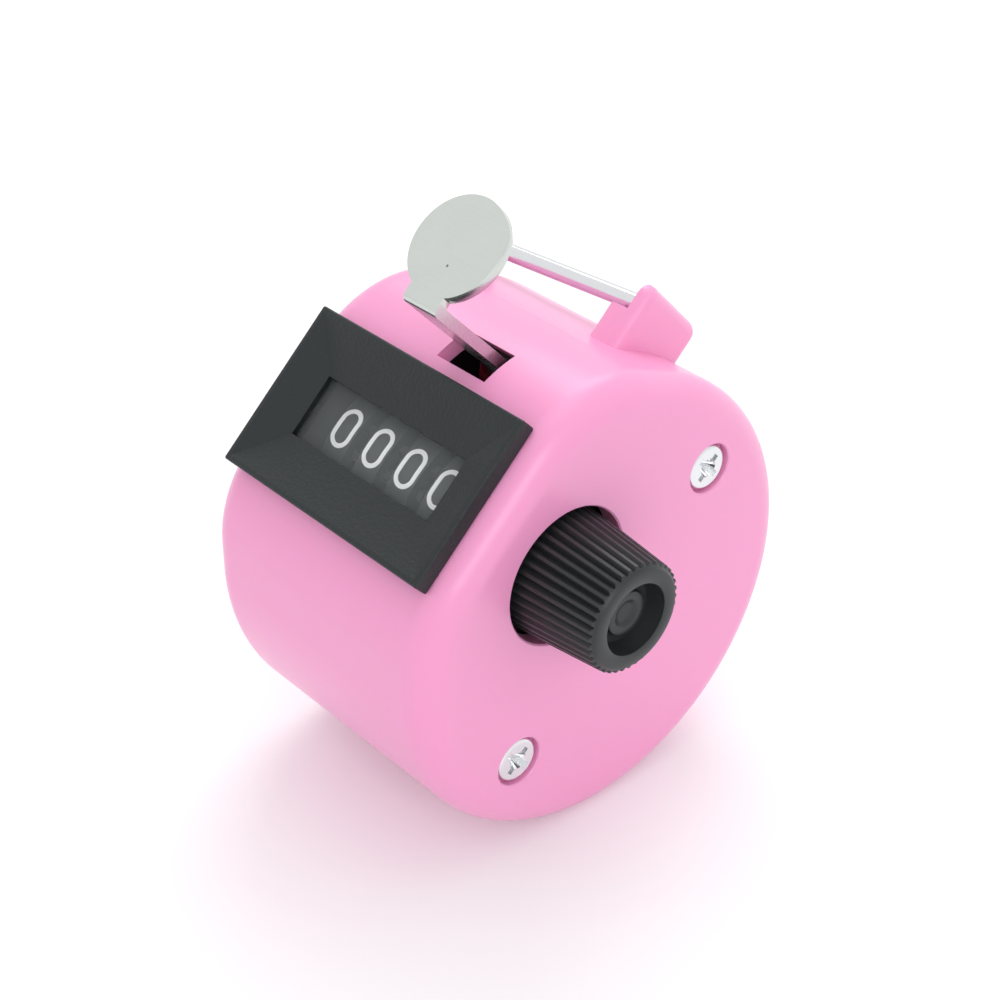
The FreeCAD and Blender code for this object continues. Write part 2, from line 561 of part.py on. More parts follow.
def number_wheel(index, label):
    """Wheel with a figure band, a carry gear on its right and a carry segment on its left."""
    middle = f"(dims.bezel_offset + ({index} - 1.5) * dims.wheel_pitch)"
    low, high = f"({middle} - dims.wheel_rim / 2)", f"({middle} + dims.wheel_rim / 2)"
    pieces = [rod(low, high, "dims.wheel_radius", name="figure_band")]
    ends = [low, high]
    if index < 3:
        pieces.append(toothed_ring(high, f"{high} + dims.gear_face", GEAR_TEETH, GEAR_PITCH_RADIUS,
                                   AXLE_V, AXLE_W))
        ends[1] = f"({high} + dims.gear_face)"
    if index > 0:
        ends[0] = f"({low} - dims.carry_face)"
        pieces.append(toothed_ring(ends[0], low, GEAR_TEETH, GEAR_PITCH_RADIUS, AXLE_V, AXLE_W, 2, "carry"))
    bore = rod(f"{ends[0]} - 1", f"{ends[1]} + 1", "dims.shaft_radius + dims.run_gap", name="bore")
    return node(cut(fuse(pieces, f"{label}_solid") if len(pieces) > 1 else pieces[0], [bore], label), label)


def ratchet_wheel():
    """Ten-tooth ratchet beside the units wheel."""
    tip, root = number("dims.ratchet_tip"), number("dims.ratchet_root")
    corners = []
    for tooth in range(10):
        angle = math.radians(162 + 36 * tooth)
        corners += [(root, angle), (tip, angle)]
    points = [(f"{AXLE_V} + {r * math.cos(a)}", f"{AXLE_W} + {r * math.sin(a)}") for r, a in corners]
    disc = outline_plate(f"{RATCHET_IN} - {RATCHET_GAP}", RATCHET_OUT, points, "ratchet_disc")
    bore = rod(0, THROUGH, "dims.shaft_radius + dims.run_gap", name="ratchet_bore")
    return node(cut(disc, [bore], "ratchet"), "ratchet_wheel")


def carry_pinion(index, label):
    """Eight-tooth pinion between two wheels."""
    middle = f"(dims.bezel_offset + ({index} - 1) * dims.wheel_pitch)"
    low, high = f"({middle} - dims.pinion_face / 2)", f"({middle} + dims.pinion_face / 2)"
    gear = toothed_ring(low, high, PINION_TEETH, PINION_PITCH_RADIUS, PINION_V, PINION_W, None, "pinion")
    bore = rod(f"{low} - 1", f"{high} + 1", "dims.pinion_pin_radius + dims.run_gap", PINION_V, PINION_W)
    return node(cut(gear, [bore], label), label)


def collar(x0, x1, wall, label):
    """Ring on the reset shaft."""
    ring = rod(x0, x1, f"dims.shaft_radius + {wall}", name="collar")
    bore = rod(f"{x0} - 1", f"{x1} + 1", "dims.shaft_radius", name="bore")
    return node(cut(ring, [bore], label), label)


# ---------------------------------------------------------------- reset knob
def reset_knob():
    """Tapered knob with fine ribs, a dished end and a round centre boss."""
    base_x, end_x = f"({END_INSIDE} - dims.knob_sink)", f"({END} + dims.knob_reach)"
    ribs = int(number("dims.knob_ribs"))
    v, w, rib = number(AXLE_V), number(AXLE_W), number("dims.knob_rib")
    sections = []
    for x, radius in ((base_x, "dims.knob_base_radius"), (end_x, "dims.knob_end_radius")):
        crest = number(radius)
        points = []
        for rib_index in range(ribs):
            angle = 2 * math.pi * rib_index / ribs
            for share, r in ((-0.42, crest - rib), (-0.2, crest), (0.2, crest), (0.42, crest - rib)):
                turn = angle + share * 2 * math.pi / ribs
                points.append(FreeCAD.Vector(number(x), v + r * math.cos(turn), w + r * math.sin(turn)))
        sections.append(Part.makePolygon(points + points[:1]))
    grip = doc.addObject("Part::Feature", "grip")
    grip.Shape = Part.makeLoft(sections, True, True)
    floor, boss_end = f"({end_x} - dims.knob_recess)", f"({end_x} - dims.knob_boss_drop)"
    recess = rod(floor, f"{end_x} + 1", "dims.knob_recess_radius", name="end_recess")
    dimple = cone(f"{boss_end} - dims.knob_dimple", boss_end, 0.5, "dims.knob_dimple_radius", name="dimple")
    boss = cut(rod(floor, boss_end, "dims.knob_boss_radius", name="end_boss"), [dimple], "boss_cut")
    bore = rod(f"{base_x} - 1", SHAFT_END, "dims.shaft_radius", name="knob_bore")
    return node(fuse([cut(grip, [recess, bore], "grip_cut"), boss], "knob"), "reset_knob")


# ---------------------------------------------------------------- thumb lever and its drive
def near_pawl_pin(v, w):
    """Place given from the pawl pin."""
    return f"dims.pawl_pin_v + {v}", f"dims.pawl_pin_w + {w}"


def thumb_lever():
    """Bent steel lever: thumb pad, strip through the slot, web, two cheeks and a drive arm."""
    x, half = "dims.lever_offset", "(dims.lever_width / 2)"
    top, bottom = "dims.pad_height", "(dims.pad_height - dims.lever_thick)"
    front, back = "(dims.lever_back - dims.lever_thick)", "dims.lever_back"
    pad = doc.addObject("Part::Cylinder", "pad")
    bind(pad, Radius="dims.pad_radius", Height="dims.lever_thick")
    move(pad, x, "dims.pad_reach", bottom)
    neck = block(f"{x} - {half}", f"{x} + {half}", front, "dims.pad_reach", bottom, top, "neck")
    web_low = "(dims.pivot_w + 1.5)"
    strip = block(f"{x} - {half}", f"{x} + {half}", front, back, web_low, top, "strip")
    web = block(f"{x} - {half}", CHEEK_OUT, front, back, web_low, "(dims.pivot_w + 5.6)", "web")
    ear = [("dims.pivot_v - 2.9", "dims.pivot_w + 1.5"), ("dims.pivot_v - 2.1", "dims.pivot_w - 1.6"),
           ("dims.pivot_v + 1.6", "dims.pivot_w - 1.9"), ("dims.pivot_v + 2.2", "dims.pivot_w + 1.4"),
           (back, "dims.pivot_w + 5.6"), (front, "dims.pivot_w + 5.6")]
    left = outline_plate(f"{x} - {half}", f"{x} - {half} + dims.cheek", ear, "left_cheek")
    right = outline_plate(CHEEK_IN, CHEEK_OUT, ear, "right_cheek")
    reach = [("dims.pivot_v - 2.6", "dims.pivot_w + 1.6"), (f"{back} - 0.4", "dims.pivot_w + 5.6"),
             near_pawl_pin(6, 1.1), near_pawl_pin(-1, 1.3), near_pawl_pin(-1.4, -0.9), near_pawl_pin(6, -1.6)]
    arm = outline_plate(CHEEK_IN, CHEEK_OUT, reach, "drive_arm")
    bore = rod("-1", THROUGH, "dims.pivot_radius + dims.run_gap", "dims.pivot_v", "dims.pivot_w")
    pin_hole = rod("1", THROUGH, "dims.pawl_pin_radius", "dims.pawl_pin_v", "dims.pawl_pin_w")
    solid = fuse([pad, neck, strip, web, left, right, arm], "lever_solid")
    return node(cut(solid, [bore, pin_hole], "lever"), "thumb_lever")


def drive_pawl():
    """Hooked pawl that pushes one ratchet tooth at each press."""
    def near_axle(radius, degrees):
        angle = math.radians(degrees)
        return f"{AXLE_V} + {radius * math.cos(angle)}", f"{AXLE_W} + {radius * math.sin(angle)}"

    corners = [near_axle(4.0, 158.0), near_axle(5.7, 158.0), near_pawl_pin(-1.2, -0.4),
               near_pawl_pin(-0.8, 1.0), near_pawl_pin(0.9, 0.9), near_pawl_pin(1.1, -1.2),
               near_axle(5.2, 145.0)]
    bore = rod(0, THROUGH, "dims.pawl_pin_radius + dims.run_gap", "dims.pawl_pin_v", "dims.pawl_pin_w")
    blank = outline_plate(RATCHET_IN, RATCHET_OUT, corners, "pawl_blank")
    return node(cut(blank, [bore], "pawl"), "drive_pawl")


def lever_spring():
    """Torsion spring round the lever pivot."""
    low = number("dims.lever_offset - dims.lever_width / 2 + dims.cheek + 2 * dims.spring_wire")
    high = number(f"{CHEEK_IN} - 1.4")
    helix = doc.addObject("Part::Helix", "coil_path")
    helix.Pitch = (high - low) / number("dims.spring_turns")
    helix.Height = high - low
    helix.Radius = number("dims.spring_coil")
    middle = FreeCAD.Vector(low, number("dims.pivot_v"), number("dims.pivot_w"))
    helix.Placement = FreeCAD.Placement(middle, FreeCAD.Rotation(FreeCAD.Vector(0, 1, 0), 90))
    ring = doc.addObject("Part::Circle", "wire_section")
    ring.Radius = number("dims.spring_wire")
    doc.recompute()
    start = helix.Shape.Edges[0].valueAt(helix.Shape.Edges[0].FirstParameter)
    along = helix.Shape.Edges[0].tangentAt(helix.Shape.Edges[0].FirstParameter)
    ring.Placement = FreeCAD.Placement(start, FreeCAD.Rotation(FreeCAD.Vector(0, 0, 1), along))
    coil_sweep = doc.addObject("Part::Sweep", "coil")
    coil_sweep.Sections = [ring]
    coil_sweep.Spine = (helix, ["Edge1"])
    coil_sweep.Solid = True
    coil_sweep.Frenet = True
    return node(coil_sweep, "lever_spring")


def retaining_spring():
    """Leaf spring on the right plate that keeps the ratchet from turning back."""
    tip = "(dims.ratchet_tip + 0.25)"
    near, low = f"{AXLE_V} + {tip}", f"{AXLE_W} - 14.3"
    foot = block(RATCHET_IN, PLATE_IN, f"{near} - 0.3", f"{near} + 0.1", low, f"{low} + 2", "spring_foot")
    leaf = block(RATCHET_IN, RATCHET_OUT, near, f"{near} + 0.3", low, f"{AXLE_W} + 1", "leaf")
    return node(fuse([foot, leaf], "retaining"), "retaining_spring")


# ---------------------------------------------------------------- assembly
case_shell()
end_cover()
case_screws()
bezel()
window_lens()
node(strap_rod("bar"), "strap_bar")
side_plate(-1, "side_plate_left")
side_plate(1, "side_plate_right")
frame_posts()
for place, wheel in enumerate(WHEELS):
    number_wheel(place, wheel)
ratchet_wheel()
for place, pinion in enumerate(["carry_pinion_thousands", "carry_pinion_hundreds", "carry_pinion_tens"]):
    carry_pinion(place, pinion)
pinion_pin = rod("-dims.plate_reach", "dims.plate_reach", "dims.pinion_pin_radius", PINION_V, PINION_W)
node(pinion_pin, "pinion_shaft")
node(rod("-dims.plate_reach - 1.4", SHAFT_END, "dims.shaft_radius", name="shaft"), "reset_shaft")
collar("-dims.plate_reach - 0.9", "-dims.plate_reach - 0.3", 1.1, "shaft_clip")
collar(f"-{PLATE_IN} + 0.1", "dims.bezel_offset - 1.5 * dims.wheel_pitch - dims.wheel_rim / 2 - 0.1",
       "dims.collar_wall", "spacer_left")
collar(f"{RATCHET_OUT} + 0.1", f"{PLATE_IN} - 0.1", "dims.collar_wall", "spacer_right")
reset_knob()
thumb_lever()
pivot = rod("-dims.plate_reach", "dims.plate_reach", "dims.pivot_radius", "dims.pivot_v", "dims.pivot_w")
node(pivot, "lever_pivot")
rivet = rod(f"{RATCHET_IN} - 0.1", CHEEK_OUT, "dims.pawl_pin_radius", "dims.pawl_pin_v", "dims.pawl_pin_w")
node(rivet, "pawl_pin")
drive_pawl()
lever_spring()
retaining_spring()
doc.recompute()

failed = [obj.Label for obj in doc.Objects if {"Invalid", "Error"} & set(obj.State)]
if failed:
    raise RuntimeError(f"not built: {failed}")
for label, obj in parts.items():
    shape = obj.Shape
    if shape.isNull() or not shape.isValid() or not shape.Solids:
        raise RuntimeError(f"bad shape: {label}")
os.makedirs("parts", exist_ok=True)
for label, obj in parts.items():
    obj.Shape.exportStep(f"parts/{label}.step")
    box = obj.Shape.BoundBox
    print(f"{label}: {obj.Shape.Volume:.1f} mm3, {len(obj.Shape.Solids)} solids, "
          f"{box.XLength:.1f} x {box.YLength:.1f} x {box.ZLength:.1f}")
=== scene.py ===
import math

import bmesh
import bpy
from mathutils import Matrix, Vector


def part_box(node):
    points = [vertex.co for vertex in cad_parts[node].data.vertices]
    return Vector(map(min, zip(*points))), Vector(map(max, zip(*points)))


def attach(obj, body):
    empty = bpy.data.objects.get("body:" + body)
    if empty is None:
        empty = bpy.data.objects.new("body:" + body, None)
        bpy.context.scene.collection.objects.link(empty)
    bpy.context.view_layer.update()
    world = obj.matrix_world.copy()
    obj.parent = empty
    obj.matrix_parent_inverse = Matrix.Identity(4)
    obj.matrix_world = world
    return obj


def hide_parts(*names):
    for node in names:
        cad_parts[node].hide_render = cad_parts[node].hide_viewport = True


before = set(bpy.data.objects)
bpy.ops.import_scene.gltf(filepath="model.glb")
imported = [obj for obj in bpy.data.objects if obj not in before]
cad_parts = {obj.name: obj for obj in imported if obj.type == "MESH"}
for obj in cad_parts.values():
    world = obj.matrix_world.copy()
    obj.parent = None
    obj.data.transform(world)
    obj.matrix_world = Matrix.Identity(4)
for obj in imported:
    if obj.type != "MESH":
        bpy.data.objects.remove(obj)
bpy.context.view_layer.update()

# Hand tally counter: looks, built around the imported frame.
# Pieces are modelled in millimetres with the display face level: X across the case, Y (called v) up the
# face, Z (called w) out of it, origin on the drum axis. LEAN then leans them back and sets them in metres.

# ------------------------------------------------------------------ sizes (mm, in the level frame)
TILT = math.radians(42.7)
OVERCUT = 1.0            # how far a cutting block passes the face it opens

# case
DRUM_RADIUS = 23.6
FACE = 22.5              # display face above the drum axis
CORNER = 13.5            # radius of the corners beside the display face
HALF_FLAT = 6.3          # half the flat part of the display face
RISE = 0.9               # middle of the display up the face
HALF_WIDTH = 16.1
RIM_ROUND = 3.2
WALL = 1.8
END_WALL = 2.2
STANDING_CUT = 0.5       # depth of the narrow flat that the case stands on
STANDING_HALF = 12.0     # half the breadth of its cutting block
STANDING_DEPTH = 30.0    # underside of its cutting block
OPENING_MARGIN = 1.9     # display opening beyond the window
OPENING_FLOOR = 10.0
SLOT_HALF = 3.25
SLOT_FRONT = 10.9
SLOT_BACK = 14.5
SLOT_FLOOR = 15.0

# strap lugs
LUG_RISE = 4.1
LUG_ROOT = 2.2
RIGHT_LUG = {"left": 3.9, "right": 8.0, "back": 1.9, "front": 12.0, "rise": LUG_RISE, "rounding": 1.4}
LEFT_LUG = {"left": -15.3, "right": -13.2, "back": 7.5, "front": 11.2, "rise": LUG_RISE - 1.2,
            "rounding": 0.9}
NOTCH_LOW = (1.6, 24.5, 8.25)    # block that takes a corner off the right lug
NOTCH_HIGH = (6.6, DRUM_RADIUS + LUG_RISE + OVERCUT, 13.0)

# display
AXLE_SHIFT = 0.4         # wheel axle below the middle of the display
AXLE_DEPTH = 12.6        # wheel axle behind the display face
AXLE = Vector((0, RISE - AXLE_SHIFT, FACE - AXLE_DEPTH))
DISPLAY_X = -0.4
BEZEL = Vector((28.0, 17.2, 1.9))
WINDOW = Vector((19.5, 6.4, 1.55))
LIP = 0.55
LIP_ROUND = 0.22
SLOPE_STEPS = 6
SLOPE_BOW = 0.18         # how hollow the bezel's slopes are
SPIGOT_MARGIN = 1.8
SPIGOT_DEPTH = 1.6
LENS_SINK = 0.65
LENS_SEAT = 1.0          # lens pocket beyond the window
LENS_MARGIN = 0.9
LENS_THICKNESS = 0.9
LENS_EDGE = 0.12

# figure wheels
WHEEL_RADIUS = 10.05
WHEEL_PITCH = 4.68
WHEEL_RIM = 3.0
BAND_COVER = 0.02        # figure band over the wheel's own surface
BAND_EDGE = 0.12
BAND_BORDER = 1.6        # flat ring left round a wheel's dished side
BAND_DISH = 0.4
FIGURE_HEIGHT = 4.15
FIGURE_WIDTH = 2.55
FIGURE_STROKE = 0.46
FIGURE_DEPTH = 0.05      # half the thickness of the ink
FIGURE_LIFT = 0.03
FIGURE_STRIPS = 10
CAP_HEIGHT = 0.71        # height of a digit as a share of the letter size
WIDEST = 0.85            # most of its own width that a digit keeps

# reset knob
KNOB_HOLE = 6.97
HOLE_EDGE = 0.15
KNOB_BASE = 6.5
KNOB_END = 5.5
KNOB_REACH = 8.8
KNOB_INSIDE = 0.8        # knob behind the end wall
KNOB_SHOULDER = 0.5      # end of the first taper outside the case
SHOULDER_SHARE = 0.25    # share of the taper spent by then
KNOB_RIBS = 40
POINTS_PER_RIB = 6
RIB_DEPTH = 0.45
RIB_FULLNESS = 1.6
KNOB_EDGE = 0.45         # end of the ribs before the knob's end
END_PROFILE = [          # (depth below the knob's end, radius)
    (0.35, 5.18), (0.08, 4.95), (0, 4.7), (0, 3.75), (0.08, 3.58), (1.8, 3.35), (2.05, 3.2),
    (2.1, 2.9), (2.1, 2.55), (2.05, 2.35), (1.45, 2.25), (1.3, 2.15), (1.25, 2.0), (1.25, 1.5),
    (1.32, 1.3), (1.5, 1.1), (1.6, 0.9), (1.65, 0.6), (1.65, 0.1)]

# lever
STEEL = 1.1
LEVER_X = 2.15
LEVER_WIDTH = 4.3
LEVER_MIDDLE = 13.35
LEVER_FOOT = 11.5
WEB_RIGHT = 10.5
WEB_TOP = 15.6
BEND_ROUND = 0.75
PAD_TOP = 31.3
PAD_V = 19.1
PAD_RADIUS = 5.05
DIMPLE_OFF = Vector((0.4, -1.9))
DIMPLE_RADIUS = 0.16
DIMPLE_TIP = 0.1
DIMPLE_DEPTH = 0.45

# screws
SCREW_SPREAD = 16.5
SEAT_RADIUS = 2.6
SEAT_DEPTH = 0.95
SEAT_EDGE = 0.12
SCREW_HOLE = 1.4
SCREW_SINK = 0.25
SCREW_RADIUS = 2.4
SCREW_HEAD = 0.65
SCREW_DOME = 0.5
SHANK_RADIUS = 1.1
SHANK_LAP = 0.05         # shank inside the head
CROSS = Vector((3.0, 0.62, 0.6))
RECESS_DEPTH = 1.5
RECESS_OVER = 0.1        # recess cutter above the head
RECESS_TOP = 1.05
RECESS_BOTTOM = 0.2

MM = 0.001
shaft_low, shaft_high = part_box("reset_shaft")
axle_at = (Vector(shaft_low) + Vector(shaft_high)) / 2
axle_at.x = 0
LEAN = (Matrix.Translation(axle_at) @ Matrix.Rotation(TILT, 4, "X") @ Matrix.Scale(MM, 4)
        @ Matrix.Translation(-AXLE))


# ------------------------------------------------------------------ mesh helpers
def place(bm, *steps):
    """Move every vertex of a bmesh by the given matrices, first one first."""
    for step in steps:
        bmesh.ops.transform(bm, matrix=step, verts=bm.verts)
    return bm


def block(low, high):
    """Box between two corners."""
    bm = bmesh.new()
    bmesh.ops.create_cube(bm, size=1)
    low, high = Vector(low), Vector(high)
    return place(bm, Matrix.Diagonal((high - low).to_4d()), Matrix.Translation((low + high) / 2))


def rod(x0, x1, radius, v, w, segments=96, end_radius=None):
    """Round bar along X, tapered where its end radius is given."""
    bm = bmesh.new()
    bmesh.ops.create_cone(bm, cap_ends=True, segments=segments, radius1=radius,
                          radius2=radius if end_radius is None else end_radius, depth=x1 - x0)
    return place(bm, Matrix.Rotation(math.pi / 2, 4, "Y"), Matrix.Translation(((x0 + x1) / 2, v, w)))


def bore(depth, radius, edge, v, w, segments):
    """Hole into the knob end of the case and the softened edge at its mouth."""
    return [rod(HALF_WIDTH - depth, HALF_WIDTH + OVERCUT, radius, v, w, segments),
            rod(HALF_WIDTH - edge, HALF_WIDTH + edge, radius, v, w, segments, radius + 2 * edge)]


def round_edges(bm, edges, radius, segments=3, clamp=True):
    """Round the given edges."""
    bmesh.ops.bevel(bm, geom=edges, offset=radius, offset_type="OFFSET", segments=segments, profile=0.5,
                    affect="EDGES", clamp_overlap=clamp, material=-1)
    return bm


def sharp_edges(bm, degrees):
    """Edges that turn more than an angle."""
    limit = math.radians(degrees)
    return [e for e in bm.edges if len(e.link_faces) == 2 and e.calc_face_angle(0) > limit]


def new_verts(made):
    """Vertices among what an extrusion has made."""
    return [item for item in made["geom"] if isinstance(item, bmesh.types.BMVert)]


def object_of(bm, name):
    """Object that holds a bmesh, in millimetres until it is finished."""
    mesh = bpy.data.meshes.new(name)
    bm.to_mesh(mesh)
    bm.free()
    obj = bpy.data.objects.new(name, mesh)
    bpy.context.scene.collection.objects.link(obj)
    return obj


def apply_modifiers(obj):
    """Give an object the mesh that its modifiers make, and remove them."""
    graph = bpy.context.evaluated_depsgraph_get()
    mesh = bpy.data.meshes.new_from_object(obj.evaluated_get(graph))
    obj.modifiers.clear()
    obj.data = mesh


def combine(obj, others, operation):
    """Join or cut an object with bmeshes, which are used up."""
    for other_bm in others:
        other = object_of(other_bm, "tool")
        step = obj.modifiers.new("combine", "BOOLEAN")
        step.operation = operation
        step.solver = "EXACT"
        step.object = other
        apply_modifiers(obj)
        bpy.data.objects.remove(other)


def finish(obj, name, body, material, replaces=(), angle=32, bevel=0.0, lean=True):
    """Place a finished piece, smooth it, give it its material and declare what it rides on."""
    obj.name = obj.data.name = name
    if bevel:
        edge = obj.modifiers.new("edge", "BEVEL")
        edge.width = bevel
        edge.segments = 2
        edge.limit_method = "ANGLE"
        edge.angle_limit = math.radians(angle)
        edge.use_clamp_overlap = True
        apply_modifiers(obj)
    if lean:
        obj.data.transform(LEAN)
    for face in obj.data.polygons:
        face.use_smooth = True
    obj.data.set_sharp_from_angle(angle=math.radians(angle))
    weigh = obj.modifiers.new("weigh", "WEIGHTED_NORMAL")
    weigh.keep_sharp = True
    weigh.weight = 80
    obj.data.materials.clear()
    obj.data.materials.append(material)
    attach(obj, body)
    if replaces:
        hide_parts(*replaces)


def merged_copy(node):
    """Copy of a frame node's mesh with its loose triangles joined."""
    bm = bmesh.new()
    bm.from_mesh(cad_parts[node].data)
    bmesh.ops.remove_doubles(bm, verts=bm.verts, dist=1e-6)
    bmesh.ops.dissolve_limit(bm, angle_limit=math.radians(0.5), verts=bm.verts, edges=bm.edges)
    return object_of(bm, node)


# ------------------------------------------------------------------ material helpers
FLOAT, COLOUR = "NodeSocketFloat", "NodeSocketColor"


def group(name, inputs, outputs):
    """Empty shader node group with float or colour sockets."""
    tree = bpy.data.node_groups.new(name, "ShaderNodeTree")
    for label, kind, value in inputs:
        socket = tree.interface.new_socket(name=label, in_out="INPUT", socket_type=kind)
        socket.default_value = value
    for label, kind in outputs:
        tree.interface.new_socket(name=label, in_out="OUTPUT", socket_type=kind)
    return tree, tree.nodes.new("NodeGroupInput"), tree.nodes.new("NodeGroupOutput")


def noise(tree, scale, detail=4.0, rough=0.5):
    """Noise texture on object coordinates."""
    where = tree.nodes.new("ShaderNodeTexCoord")
    texture = tree.nodes.new("ShaderNodeTexNoise")
    tree.links.new(where.outputs["Object"], texture.inputs["Vector"])
    texture.inputs["Scale"].default_value = scale
    texture.inputs["Detail"].default_value = detail
    texture.inputs["Roughness"].default_value = rough
    return texture


def maths(tree, operation, first, second):
    """Math node on two sockets or numbers."""
    step = tree.nodes.new("ShaderNodeMath")
    step.operation = operation
    for slot, value in zip(step.inputs, (first, second)):
        if isinstance(value, (int, float)):
            slot.default_value = value
        else:
            tree.links.new(value, slot)
    return step.outputs[0]


def scaled_colour(tree, colour, amount):
    """Colour made lighter or darker by an amount near 1."""
    tint = tree.nodes.new("ShaderNodeVectorMath")
    tint.operation = "SCALE"
    tree.links.new(colour, tint.inputs[0])
    tree.links.new(amount, tint.inputs["Scale"])
    return tint.outputs[0]


def moulded_group():
    """Skin of a moulding: faint blotches of colour, uneven gloss and a fine grain."""
    tree, inside, outside = group(
        "moulded_skin",
        [("Colour", COLOUR, (1, 1, 1, 1)), ("Blotch", FLOAT, 0.03), ("Gloss", FLOAT, 0.35),
         ("Gloss Change", FLOAT, 0.05), ("Grain", FLOAT, 4000.0)],
        [("Colour", COLOUR), ("Roughness", FLOAT), ("Height", FLOAT)])
    blotch = maths(tree, "SUBTRACT", noise(tree, 90.0, 3.0).outputs["Fac"], 0.5)
    shade = maths(tree, "ADD", maths(tree, "MULTIPLY", blotch, inside.outputs["Blotch"]), 1.0)
    tree.links.new(scaled_colour(tree, inside.outputs["Colour"], shade), outside.inputs["Colour"])
    smear = maths(tree, "SUBTRACT", noise(tree, 260.0, 5.0, 0.6).outputs["Fac"], 0.5)
    change = maths(tree, "MULTIPLY", smear, inside.outputs["Gloss Change"])
    tree.links.new(maths(tree, "ADD", inside.outputs["Gloss"], change), outside.inputs["Roughness"])
    grain = noise(tree, 1.0, 3.0, 0.6)
    tree.links.new(inside.outputs["Grain"], grain.inputs["Scale"])
    tree.links.new(grain.outputs["Fac"], outside.inputs["Height"])
    return tree


def rolled_group():
    """Rolled and plated metal: fine streaks along X and clouds of gloss."""
    tree, inside, outside = group(
        "rolled_metal",
        [("Colour", COLOUR, (1, 1, 1, 1)), ("Gloss", FLOAT, 0.25), ("Streak", FLOAT, 0.08)],
        [("Colour", COLOUR), ("Roughness", FLOAT), ("Height", FLOAT)])
    where = tree.nodes.new("ShaderNodeTexCoord")
    stretch = tree.nodes.new("ShaderNodeMapping")
    stretch.inputs["Scale"].default_value = (0.08, 1.0, 1.0)
    tree.links.new(where.outputs["Object"], stretch.inputs["Vector"])
    streaks = noise(tree, 5200.0, 3.0)
    tree.links.new(stretch.outputs["Vector"], streaks.inputs["Vector"])
    clouds = noise(tree, 420.0, 4.0)
    both = maths(tree, "ADD", streaks.outputs["Fac"], clouds.outputs["Fac"])
    change = maths(tree, "MULTIPLY", maths(tree, "SUBTRACT", both, 1.0), inside.outputs["Streak"])
    tree.links.new(maths(tree, "ADD", inside.outputs["Gloss"], change), outside.inputs["Roughness"])
    shade = maths(tree, "ADD", maths(tree, "MULTIPLY", change, -0.6), 1.0)
    tree.links.new(scaled_colour(tree, inside.outputs["Colour"], shade), outside.inputs["Colour"])
    tree.links.new(streaks.outputs["Fac"], outside.inputs["Height"])
    return tree


def surface(name, tree, values, bump, depth, **sockets):
    """Principled material fed by one of the shared groups."""
    material = bpy.data.materials.new(name)
    material.use_nodes = True
    nodes, links = material.node_tree.nodes, material.node_tree.links
    shader = nodes["Principled BSDF"]
    skin = nodes.new("ShaderNodeGroup")
    skin.node_tree = tree
    for label, value in values.items():
        skin.inputs[label].default_value = value
    links.new(skin.outputs["Colour"], shader.inputs["Base Color"])
    links.new(skin.outputs["Roughness"], shader.inputs["Roughness"])
    relief = nodes.new("ShaderNodeBump")
    relief.inputs["Strength"].default_value = bump
    relief.inputs["Distance"].default_value = depth
    links.new(skin.outputs["Height"], relief.inputs["Height"])
    links.new(relief.outputs["Normal"], shader.inputs["Normal"])
    for label, value in sockets.items():
        shader.inputs[label.replace("_", " ")].default_value = value
    return material


def moulding(name, colour, blotch, gloss, change, grain, bump, depth, **sockets):
    """Moulded plastic or ink."""
    values = {"Colour": colour, "Blotch": blotch, "Gloss": gloss, "Gloss Change": change, "Grain": grain}
    return surface(name, MOULDED, values, bump, depth, **sockets)


def metal(name, colour, gloss, streak, bump, depth):
    """Rolled or plated metal."""
    values = {"Colour": colour, "Gloss": gloss, "Streak": streak}
    return surface(name, ROLLED, values, bump, depth, Metallic=1.0)


def rgb(red, green, blue):
    """Colour written in display values from 0 to 255."""
    def linear(value):
        value /= 255
        return value / 12.92 if value <= 0.04045 else ((value + 0.055) / 1.055) ** 2.4
    return linear(red), linear(green), linear(blue), 1.0


# ------------------------------------------------------------------ materials
MOULDED = moulded_group()
ROLLED = rolled_group()

pink = moulding("pink_moulding", rgb(245, 160, 205), 0.02, 0.32, 0.06, 2600.0, 0.12, 0.00004,
                IOR=1.46, Subsurface_Weight=0.12, Subsurface_Scale=0.002, Coat_Weight=0.15,
                Coat_Roughness=0.22)
black = moulding("black_grained_moulding", rgb(13, 22, 25), 0.2, 0.44, 0.16, 2600.0, 0.8, 0.0001)
knob_black = moulding("black_knob_moulding", rgb(33, 37, 38), 0.15, 0.4, 0.1, 5200.0, 0.25, 0.00003)
wheel_grey = moulding("grey_wheel_moulding", rgb(48, 51, 53), 0.1, 0.5, 0.1, 3000.0, 0.2, 0.00003)
# White ink of the figures with a faint painted glow: its emission brightens them as light would, though
# they are no lamp.
glowing_figure_white = moulding("white_figure_ink_painted_glow", rgb(253, 254, 255), 0.03, 0.5, 0.1, 6000.0, 0.2, 0.00002,
                        Emission_Color=(1, 1, 1, 1), Emission_Strength=0.14)
pinion_white = moulding("natural_acetal", rgb(232, 230, 222), 0.05, 0.4, 0.1, 3000.0, 0.1, 0.00002)
dark_plate = moulding("blackened_sheet", rgb(62, 60, 62), 0.1, 0.5, 0.1, 3000.0, 0.15, 0.00002)
clear = moulding("clear_styrene", rgb(205, 212, 212), 0.04, 0.12, 0.06, 900.0, 0.04, 0.00001, Alpha=0.08)
nickel = metal("nickel_plated_sheet", rgb(205, 210, 206), 0.26, 0.1, 0.12, 0.00002)
bright_steel = metal("bright_wire", rgb(222, 223, 226), 0.16, 0.08, 0.08, 0.00001)
screw_steel = metal("nickel_screw", rgb(226, 228, 230), 0.22, 0.1, 0.1, 0.00001)
plain_steel = metal("zinc_steel", rgb(170, 172, 176), 0.38, 0.14, 0.15, 0.00002)


